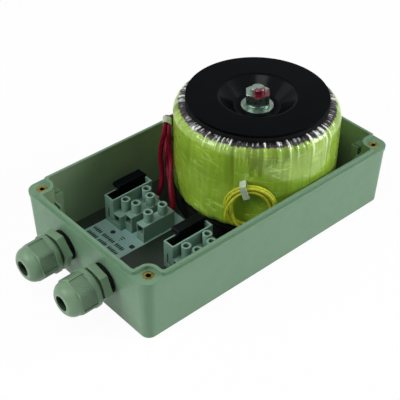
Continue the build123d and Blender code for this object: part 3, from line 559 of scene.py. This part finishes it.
def metalLook(name, metal):
    look = Look(name)
    tarnish = look.noise(420, 4.0, 0.6).within(0.35, 0.75)
    lines = look.noise(2200, 2.0, 0.5, look.stretched(metal.get("scratch", (1.0, 1.0, 1.0))))
    shade = look.mix(tarnish, metal["colour"], metal["dark"])
    gloss = metal["rough"] + tarnish * 0.16
    shiny = 1 - tarnish * 0.06
    if "dab" in metal:  # locking paint dabbed on from one side
        start, (towardsX, towardsY), low = (metal["dab"][key] for key in ("from", "towards", "low"))
        x, y, z = look.axes()
        spread = (x - toroidX) * towardsX + y * towardsY
        dab = (spread + (look.noise(420, 3.0) - 0.5) * 0.006).within(start, start + 0.0012)
        dab = dab * z.within(low - 0.0004, low + 0.0002)
        shade = look.mix(dab, shade, lockPaint)
        gloss = gloss * (1 - dab) + dab * 0.22
        shiny = shiny * (1 - dab)
    worn = look.bump(lines, 0.1, 0.0002, look.softEdge(0.0003))
    look.feed(Base_Color=shade, Roughness=gloss, Metallic=shiny, Normal=worn)
    return look


def glassLook(name, glass):
    look = Look(name, IOR=1.5, Transmission_Weight=1.0)
    shade = look.mix(look.noise(200), glass["deep"], glass["pale"])
    look.feed(Base_Color=shade, Roughness=0.03 + look.noise(500) * 0.05)
    return look


rubberLooks = {name: rubberLook(name, rubber) for name, rubber in rubbers.items()}
for name, rubber in rubbers.items():
    dress(rubberLooks[name], *rubber["on"])
for name, metal in metals.items():
    dress(metalLook(name, metal), *metal["on"])
dress(paintLook("blackPaint", platePaint), "dished_plate")
dress(glassLook("fuseGlass", fuseGlass), "mains_fuse_glass", "output_fuse_glass")
redTie = {  # millimetres and degrees
    "middle": (-7.3, 39.9, 68.9), "lean": 80, "twist": 27,
    "between": 2.7, "room": 1.35, "thick": 0.6, "height": 6.2, "head": 3.0, "headDepth": 1.0,
    "inward": (0.743, -0.669, 0), "beside": (0.669, 0.743, 0),  # to the toroid, along its wall
    "bendSteps": 8,
}


def tieBand(tie):  # a flat loop round two leads, leaning as they bend, with its head on the outside
    inward, beside = Vector(tie["inward"]), Vector(tie["beside"])
    lean, twist = radians(tie["lean"]), radians(tie["twist"])
    axis = sin(lean) * beside + Vector((0, 0, cos(lean)))
    deep = axis.cross(inward)
    along = cos(twist) * inward + sin(twist) * deep
    out = sin(twist) * inward - cos(twist) * deep
    span = along * tie["between"]
    middle = Vector(tie["middle"])
    points, faces = [], []

    def loop(room):
        ring = []
        for end, start in ((1, -90), (-1, 90)):
            for k in range(tie["bendSteps"] + 1):
                a = radians(start + 180 * k / tie["bendSteps"])
                ring.append(middle + end * span / 2 + along * room * cos(a) + out * -room * sin(a))
        return ring

    inner, outer = loop(tie["room"]), loop(tie["room"] + tie["thick"])
    count, half = len(inner), axis * tie["height"] / 2
    for ring, side in ((inner, -1), (outer, -1), (outer, 1), (inner, 1)):
        points += [spot + side * half for spot in ring]
    for level in range(4):
        for k in range(count):
            here, there = level * count, (level + 1) % 4 * count
            faces.append((here + k, there + k, there + (k + 1) % count, here + (k + 1) % count))
    base = len(points)
    h = tie["head"] / 2
    front = tie["room"] + tie["thick"] * 0.5
    tip = front + tie["headDepth"]
    for z in (-h, h):
        for a, o in ((-h, front), (h, front), (h, tip), (-h, tip)):
            points.append(middle + along * a + out * o + axis * z)
    sides = ((0, 3, 2, 1), (4, 5, 6, 7), (0, 1, 5, 4), (1, 2, 6, 5), (2, 3, 7, 6), (3, 0, 4, 7))
    faces += [tuple(base + i for i in side) for side in sides]
    return [tuple(p / 1000) for p in points], faces


band = addPiece("redLeadTie", *tieBand(redTie), rubberLooks["paleTie"], "pale_tie")
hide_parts("red_lead_tie")
print("metals and rubber done")

# Label card and its print
labelPrint = {  # millimetres, but for lift and thick
    "lift": 0.00003, "thick": 0.00004, "seed": 3,
    "marks": {"disc": (-64.4, 32.8), "bars": (-64.6, 22.9), "square": (-64.3, 11.6)},
    "markSize": 3.8, "markBars": (1.0, 0.66, 0.3), "markBarWidth": 0.8,
    "rows": [  # x, height, bars in each word, first y
        (-71.0, 3.7, [5, 7, 5], 45.9), (-76.9, 3.7, [6, 5, 6], 45.4),
    ],
    "barPitch": 1.75, "barWidth": 1.2, "wordGap": 1.8, "crossShare": 0.6, "crossWidth": 0.55,
    "card": (0.27, 0.45, 0.41), "cardPale": (0.31, 0.50, 0.455),
    "ink": (0.003, 0.004, 0.005), "inkPale": (0.02, 0.025, 0.026),
}


def cardLook(name, art):
    look = Look(name, Roughness=0.45, Coat_Weight=0.15, Coat_Roughness=0.25)
    shade = look.mix(look.noise(60, 4.0).within(0.3, 0.7), art["card"], art["cardPale"])
    look.feed(Base_Color=shade, Normal=look.bump(look.noise(1200), strength=0.08, distance=0.0002))
    return look


def inkLook(name, art):
    look = Look(name, Roughness=0.4)
    look.feed(Base_Color=look.mix(look.noise(2500).within(0.45, 0.8), art["ink"], art["inkPale"]))
    return look


def printShapes(art, top):
    points, faces = [], []

    def fill(outline):  # a closed outline in millimetres, as a thin raised patch
        first, count = len(points), len(outline)
        for level in (top + art["lift"], top + art["lift"] + art["thick"]):
            points.extend((x / 1000, y / 1000, level) for x, y in outline)
        faces.append([first + i for i in reversed(range(count))])
        faces.append([first + count + i for i in range(count)])
        for i in range(count):
            j = (i + 1) % count
            faces.append([first + i, first + j, first + count + j, first + count + i])

    def arc(x, y, r, angles):
        return [(x + r * cos(radians(a)), y + r * sin(radians(a))) for a in angles]

    def dash(x, y, wide, long):  # rounded bar that runs along -Y from y
        r = wide * 0.3
        low, high = x - wide / 2 + r, x + wide / 2 - r
        far, near = y - long + r, y - r
        corners = ((low, far, 180), (high, far, 270), (high, near, 0), (low, near, 90))
        fill([spot for cx, cy, a in corners for spot in arc(cx, cy, r, range(a, a + 91, 30))])

    rng = np.random.default_rng(art["seed"])
    for x, high, words, y in art["rows"]:
        for bars in words:
            for k in range(bars):  # a stroke or two in each place, of uneven height
                dash(x, y, high * rng.uniform(0.75, 1.0), art["barWidth"])
                if rng.random() < art["crossShare"]:
                    across = x + high * rng.uniform(-0.3, 0.3)
                    dash(across, y, art["crossWidth"], art["barPitch"] * rng.uniform(0.5, 0.75))
                y -= art["barPitch"]
            y -= art["wordGap"]
    half = art["markSize"] / 2
    x, y = art["marks"]["disc"]
    fill(arc(x, y, half, range(0, 360, 15)))
    x, y = art["marks"]["bars"]
    for step, size in enumerate(art["markBars"]):
        dash(x + half - step * half, y + half * size, art["markBarWidth"], 2 * half * size)
    x, y = art["marks"]["square"]
    dash(x, y + half, 2 * half, 2 * half)
    return points, faces


dress(cardLook("cardPaper", labelPrint), "label_card")
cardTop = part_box("label_card")[1].z
inkPrint = inkLook("inkPrint", labelPrint)
addPiece("labelPrint", *printShapes(labelPrint, cardTop), inkPrint, "label_print")
print("label printed")

# Film round the toroid
film = {  # metres
    "x": toroidX, "outer": 0.0585, "hole": 0.024, "low": 0.015, "height": 0.0695, "round": 0.008,
    "columns": 1200, "wallRows": 44, "seed": 7,
    "pleats": 120, "strips": 34, "wrinkles": 110, "crushes": 150, "gathers": 130,
    "padEdge": 0.0021,  # how far in from the shoulder the pad ends
    "edge": 0.0062,  # where the bare band ends, measured over the shoulder from the pad
    "bandMiddle": 0.0035, "bandWidth": 0.0035, "footLift": 0.004,
    "outsideFrom": 0.049, "outsideOver": 0.003,  # radius at which the outer wall takes over
    "deepest": -0.0004, "highest": 0.0009,
    "ridge": (0.0005, 1.1), "crease": (-0.00035, -1.0),  # height, and the painted highlight (above 0) or painted shade (below 0) it gives in the look; the same for the next line
    "pleat": (0.0004, 0.55), "crush": (0.00038, 0.6), "gather": (0.0004, 0.5),
    "degree": 1.02,  # millimetres round the wall
    "ridges": [  # degrees, then half width and reach down the wall in millimetres
        (-172.5, 0.7, 14), (-163, 0.6, 12), (-159.5, 0.6, 10), (-156.4, 0.5, 14),
        (-153.5, 0.45, 9), (-148.3, 0.7, 30), (-133.3, 0.45, 7), (-128.9, 0.6, 13),
        (-119.3, 0.8, 22), (-112, 0.9, 44), (-106.4, 0.8, 20), (-94, 0.9, 26), (-80.8, 0.9, 40),
        (-76.4, 0.8, 28),
    ],
    "creases": [  # the same
        (-170, 0.7, 13), (-161.5, 0.5, 9), (-157.6, 0.6, 12), (-150.4, 0.9, 24), (-140, 1.2, 12),
        (-136, 1.1, 15), (-131, 0.8, 11), (-122.3, 1.3, 25), (-114.8, 1.5, 16), (-108.2, 1.0, 12),
        (-100.2, 0.8, 9), (-78.4, 0.9, 30),
    ],
    "shadePatches": [  # painted shade patches: degrees, half width in degrees, reach in millimetres
        (-134, 23, 25), (-104, 6, 13), (-60, 9, 16), (20, 22, 18), (95, 15, 17), (150, 12, 15),
    ],
}
filmColours = {
    "deep": (0.24, 0.41, 0.03), "bright": (0.36, 0.58, 0.052), "streak": (0.20, 0.34, 0.02),
    # the last of these is painted shade for hollows and darker patches
    "crease": (0.58, 0.80, 0.16), "sheet": (0.22, 0.34, 0.02), "shadeAndDull": (0.115, 0.185, 0.007),
    # painted highlights: paler on raised folds, near-white on those near the top
    "raised": (0.60, 0.84, 0.16), "shoulder": (0.85, 0.95, 0.62),
    "flecks": [  # dark to shiny in the bare band
        (0.40, (0.004, 0.002, 0.004)), (0.50, (0.025, 0.008, 0.014)), (0.55, (0.07, 0.065, 0.065)),
        (0.60, (0.26, 0.31, 0.29)), (0.66, (0.88, 0.92, 0.88)),
    ],
}


def ringProfile(f):  # from the hole's foot up, over the top, down the outside and back under
    r, top = f["round"], f["low"] + f["height"]

    def bend(x, z, start, count):
        angles = [radians(start - 90 * k / count) for k in range(count + 1)]
        return [(x + r * cos(a), z + r * sin(a)) for a in angles]

    inner = bend(f["hole"] + r, top - r, 180, 5)
    flat = [(f["outer"] - r - 0.001 * k, top) for k in (8, 6, 4, 3, 2, 1)]
    shoulder = bend(f["outer"] - r, top - r, 90, 18)
    rows = f["wallRows"]
    wall = [(f["outer"], top - r - (f["height"] - 2 * r) * k / rows) for k in range(1, rows)]
    foot = bend(f["outer"] - r, f["low"] + r, 0, 10)
    under = bend(f["hole"] + r, f["low"] + r, 270, 5)
    return np.array(inner + flat + shoulder + wall + foot + under)


def filmRing(f):
    rng = np.random.default_rng(f["seed"])
    profile = ringProfile(f)
    tangent = np.roll(profile, -1, 0) - np.roll(profile, 1, 0)
    tangent /= np.linalg.norm(tangent, axis=1)[:, None]
    normal = np.c_[-tangent[:, 1], tangent[:, 0]]
    steps = np.linalg.norm(np.diff(profile, axis=0, append=profile[:1]), axis=1)
    first = int(np.argmax(profile[:, 0] > f["outer"] - f["round"] - f["padEdge"]))
    # metres from the pad's edge, over the shoulder and down
    depth = np.cumsum(steps) - np.cumsum(steps)[first]
    depth = np.where(np.arange(len(profile)) < first, -1, depth)[:, None]
    shown = depth > -0.5  # rows past the pad's edge
    outside = np.clip((profile[:, 0] - f["outsideFrom"]) / f["outsideOver"], 0, 1)[:, None]
    turn = np.linspace(0, 2 * pi, f["columns"], endpoint=False)[None, :]
    lift = np.zeros((len(profile), f["columns"]))
    fold = np.zeros_like(lift)

    # high lifts the film, and tone paints highlight on raised folds and shade in hollows, or tints
    # a strip's edge
    def add(shape, high, tone):
        lift[...] += high * shape
        fold[...] += tone * shape

    def around(count, jitter):  # angles spaced round the ring, each a little off
        for k in range(count):
            yield 2 * pi * (k + rng.uniform(-jitter, jitter)) / count

    def aside(angle, lean=0.0):  # metres round the wall from a line that may lean
        return ((turn - angle + pi) % (2 * pi) - pi) * f["outer"] - lean * np.maximum(depth, 0)

    def bell(angle, wide):
        return np.exp(-(aside(angle) / wide) ** 2)

    def pleat(angle, wide, tall, reach, lean):
        fall = np.clip(1 - depth / reach, 0, 1) ** 0.8 * shown
        spread = wide * (0.8 + 0.9 * np.clip(depth / reach, 0, 1))
        return tall * fall * np.exp(-(aside(angle, lean) / spread) ** 2)

    for kind, rows in (("ridge", f["ridges"]), ("crease", f["creases"])):
        for angle, wide, reach in rows:
            lean = rng.uniform(-0.03, 0.03)
            line = pleat(radians(angle), wide / 1000, 1.0, f["edge"] + reach / 1000, lean)
            add(line, *f[kind])
    for angle in around(f["pleats"], 0.42):  # the many small folds that hang from the shoulder
        wide, tall = rng.uniform(0.0004, 0.0012), rng.uniform(-0.7, 1.0)
        reach, lean = rng.uniform(0.008, 0.028), rng.uniform(-0.06, 0.06)
        add(pleat(angle, wide, tall, reach, lean), *f["pleat"])
    for angle in around(f["strips"], 0.3):  # overlapping edges of the wound strip, top to bottom
        gap = aside(angle, rng.uniform(-0.05, 0.05))
        step = np.where(gap > 0, np.exp(-np.abs(gap) / 0.0045), np.exp(-np.abs(gap) / 0.0004))
        add(step * outside, rng.uniform(0.00008, 0.00026), rng.uniform(0.05, 0.3))
        tone = rng.uniform(-0.22, 0.16)
        fold += tone * np.clip(gap / 0.0003, 0, 1) * (gap < rng.uniform(0.006, 0.014)) * outside
    for k in range(f["wrinkles"]):  # short slanting wrinkles on the flat of the wall
        angle, at = rng.uniform(0, 2 * pi), rng.uniform(0.018, 0.068)
        long, thin = rng.uniform(0.004, 0.013), rng.uniform(0.0005, 0.0009)
        gap = aside(angle)
        across = depth - at - rng.uniform(-0.5, 0.5) * gap
        ridge = np.exp(-(gap / long) ** 2 - (across / thin) ** 2) * outside
        add(ridge, rng.uniform(0.00006, 0.00016), rng.uniform(0.1, 0.35))
    band = np.exp(-((depth - f["bandMiddle"]) / f["bandWidth"]) ** 2) * shown
    for angle in around(f["crushes"], 0.45):  # crushed band between the pad and the yellow
        tall = rng.uniform(-1, 1) * band
        add(tall * bell(angle, rng.uniform(0.0004, 0.0009)), *f["crush"])
    foot = profile[:, 1:] - f["low"] - f["footLift"]  # height over the lower edge
    for angle in around(f["gathers"], 0.45):  # small gathers along the foot
        reach = rng.uniform(0.004, 0.011)
        tall = rng.uniform(-1, 1) * np.clip(1 - foot / reach, 0, 1)
        add(tall * bell(angle, rng.uniform(0.0005, 0.0013)) * outside, *f["gather"])
    for angle, half, reach in f["shadePatches"]:  # painted shade: darker, duller patches with a ragged lower end
        rough = np.tile(rng.normal(size=f["columns"]), 3)
        ragged = np.convolve(rough, np.ones(14) / 14, "same")[f["columns"]:2 * f["columns"]]
        degrees = np.abs(aside(radians(angle))) * 1000 / f["degree"]
        side = np.clip((half - degrees) / 2, 0, 1)
        end = np.clip((reach / 1000 * (1 + 1.3 * ragged[None, :]) - depth) / 0.002, 0, 1)
        fold -= 0.55 * side * end * (depth > f["edge"] * 0.8)
    lift = np.clip(lift, f["deepest"], f["highest"])
    shape = profile[:, None, :] + normal[:, None, :] * lift[:, :, None]
    reach = shape[:, :, 0]
    spots = np.stack([f["x"] + reach * np.cos(turn), reach * np.sin(turn), shape[:, :, 1]], -1)
    rows, columns = lift.shape
    row, column = np.meshgrid(np.arange(rows), np.arange(columns), indexing="ij")
    below, beside = (row + 1) % rows * columns, (column + 1) % columns
    here = row * columns
    faces = np.stack([below + column, below + beside, here + beside, here + column], -1)
    return spots.reshape(-1, 3), faces.reshape(-1, 4), np.clip(fold, -1, 1).ravel()


def filmLook(name, f, colours):
    look = Look(name, Coat_Roughness=0.12, Specular_IOR_Level=0.4)
    x, y, z = look.axes()
    outX = x - f["x"]
    reach = (outX * outX + y * y).root()
    turn = y.angle(outX)
    fold = look.node("ShaderNodeAttribute", {"attribute_name": "fold"}, {}, "Fac")
    wall = look.joined(turn * f["outer"], z * 0.10, reach * 0.25)
    slant = look.joined(turn * f["outer"] * 0.22, z + turn * 0.006, reach * 0.3)
    radial = look.joined(turn * f["outer"], reach * 0.22, z * 0.22)
    streak = look.noise(330, 3.0, 0.6, wall).within(0.3, 0.7)
    cloud = look.noise(42, 4.0).within(0.3, 0.72)
    hair = look.noise(110, 2.0, 0.5, slant)  # long thin pale creases along the noise's contours
    fine = look.noise(190, 2.0, 0.5, slant)
    crease = (1 - abs(hair - 0.5).within(0.004, 0.02)) * look.noise(55, 2.0).within(0.44, 0.58)
    thin = (1 - abs(fine - 0.52).within(0.003, 0.02)) * look.noise(70, 2.0).within(0.5, 0.6)
    crease = crease + thin * 0.7
    sheet = look.noise(60, 2.0, 0.5, slant).within(0.55, 0.62)  # loose patches of a darker sheet
    shadeAndDull = (0 - fold).within(0.05, 0.9)  # painted shade in hollows and darker patches, which also get rougher and less coated
    # painted highlight: near-white on raised folds near the top
    shoulder = fold.within(0.3, 0.9) * z.within(0.068, 0.078)
    yellow = look.mix(cloud, colours["deep"], colours["bright"])
    layers = [
        (streak * 0.5, "streak"), (crease * 0.55, "crease"), (sheet * 0.3, "sheet"),
        # the paler tone on raised folds is painted highlight
        (shadeAndDull * 0.85, "shadeAndDull"), (fold.within(0.25, 1.0) * 0.4, "raised"),
        (shoulder * 0.7, "shoulder"),
    ]
    for share, colour in layers:
        yellow = look.mix(share, yellow, colours[colour])
    # raised crushes lean to the pale, shiny stops, a painted highlight
    fleck = look.noise(620, 4.0, 0.68, radial) + fold * 0.17 + (look.noise(26, 2.0) - 0.5) * 0.3
    silver = look.node("ShaderNodeValToRGB", {"stops": colours["flecks"]}, {"Fac": fleck})
    wander = (look.noise(330, 3.0, 0.6, wall) - 0.5) * 0.0045
    border = f["outer"] - 0.0032 + wander + fold * 0.0006  # where the yellow starts
    bare = (1 - (reach - border).within(-0.0005, 0.0005)) * z.within(0.070, 0.074)
    small = look.noise(420, 4.0, 0.6, wall) + look.noise(240, 4.0) * 0.5 + crease * 0.6
    look.feed(
        Base_Color=look.mix(bare, yellow, silver),
        Roughness=0.22 + look.noise(300) * 0.14 + bare * 0.1 + shadeAndDull * 0.2,
        Coat_Weight=0.7 - bare * 0.6 - shadeAndDull * (1 - bare) * 0.6,
        Normal=look.bump(small, strength=0.14, distance=0.0006),
    )
    return look


points, faces, fold = filmRing(film)
yellowFilm = filmLook("yellowFilm", film, filmColours)
wrap = addPiece("toroidFilm", points, faces, yellowFilm, "yellow_film", smooth=True)
# per point: painted highlight on raised folds, painted shade in hollows, and the strips' tint
wrap.data.attributes.new("fold", "FLOAT", "POINT").data.foreach_set("value", fold)
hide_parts("film_wrap")
blister = {
    "halfWidth": 0.008, "halfHeight": 0.0055, "columns": 15, "rows": 11,
    "cover": 0.0021, "sink": 0.0006,  # over the lead's middle, and into the film at the rim
}


def leadBlisters(f, b, spots):  # film lifted over each lead where it comes out
    points, faces = [], []
    wide, tall = b["columns"], b["rows"]
    for x, y, z in spots:
        reach = ((x / 1000 - f["x"]) ** 2 + (y / 1000) ** 2) ** 0.5
        middle = np.arctan2(y / 1000, x / 1000 - f["x"])
        first = len(points)
        for v in np.linspace(-1, 1, tall):
            for u in np.linspace(-1, 1, wide):
                dome = max(0.0, 1 - u * u - v * v) ** 0.55
                r = f["outer"] - b["sink"] + (reach + b["cover"] - f["outer"]) * dome
                turn = middle + u * b["halfWidth"] / f["outer"]
                height = z / 1000 + v * b["halfHeight"]
                points.append((f["x"] + r * cos(turn), r * sin(turn), height))
        for i in range(tall - 1):
            for j in range(wide - 1):
                here = first + i * wide + j
                faces.append((here, here + 1, here + wide + 1, here + wide))
    return points, faces


starts = [route["points"][0] for route in redLeads["routes"].values()]
starts += [route["start"][0] for route in yellowLeads["routes"].values()]
bulges = leadBlisters(film, blister, starts)
addPiece("leadBlisters", *bulges, yellowFilm, "yellow_film", smooth=True)
print("film wrapped")

# Floor, light and background
studio = {
    "lamps": {  # power, width and height, place
        "keyLamp": (13.5, (0.6, 0.5), (0.88, -0.78, 0.6)),
        "fillLamp": (8, (0.6, 0.6), (-0.95, 0.30, 0.70)),
        "backLamp": (2.0, (0.9, 0.5), (-0.3, 1.1, 1.0)),
        "topLamp": (4, (0.5, 0.5), (-0.45, -0.25, 1.25)),
    },
    "aim": (0.0, 0.0, 0.04), "sky": 0.09, "shadowShare": 0.05,
    "floorSize": 6.0, "floorDrop": 0.0002, "floorColour": (0.92, 0.92, 0.92, 1.0),
}


def seenDirectly(web):  # 1 for what the camera sees itself, in a reflection or through glass
    path = web.node("ShaderNodeLightPath", {}, {}).socket.node
    rays = ("Is Camera Ray", "Is Glossy Ray", "Is Transmission Ray")
    camera, glossy, through = (Flow(web, path.outputs[name]) for name in rays)
    either = camera.math("MAXIMUM", camera, glossy)
    return either.math("MAXIMUM", either, through)


def paleFloor(light):
    look = Look("paleFloor", Base_Color=light["floorColour"], Roughness=0.9)
    share = seenDirectly(look) * (1 - light["shadowShare"])
    lit, glow = Flow(look, look.shader.outputs[0]), look.node("ShaderNodeEmission", {}, {})
    look.end("OUTPUT_MATERIAL", look.node("ShaderNodeMixShader", {}, {0: share, 1: lit, 2: glow}))
    h = light["floorSize"] / 2
    floor = newMesh("floor", [(-h, -h, 0), (h, -h, 0), (h, h, 0), (-h, h, 0)], [(0, 1, 2, 3)], look)
    floor.location.z = -light["floorDrop"]


def softLamp(name, power, size, place, target):
    lamp = bpy.data.objects.new(name, bpy.data.lights.new(name, "AREA"))
    lamp.data.shape = "RECTANGLE"
    lamp.data.size, lamp.data.size_y = size
    lamp.data.energy = power
    lamp.location = place
    lamp.rotation_mode = "QUATERNION"
    lamp.rotation_quaternion = (Vector(target) - Vector(place)).to_track_quat("-Z", "Y")
    scene.collection.objects.link(lamp)


def paleWorld(strength):
    world = bpy.data.worlds.new("studioWorld")
    world.use_nodes = True
    scene.world = world
    web = Web(world.node_tree)
    sky = web.kept("BACKGROUND")
    sky.inputs["Color"].default_value = (1, 1, 1, 1)
    sky.inputs["Strength"].default_value = strength
    dim, pale = Flow(web, sky.outputs[0]), web.node("ShaderNodeBackground", {}, {})
    sockets = {0: seenDirectly(web), 1: dim, 2: pale}
    web.end("OUTPUT_WORLD", web.node("ShaderNodeMixShader", {}, sockets))


paleFloor(studio)
for name, lamp in studio["lamps"].items():
    softLamp(name, *lamp, studio["aim"])
paleWorld(studio["sky"])
scene.view_settings.view_transform = "Standard"
print("studio lit")
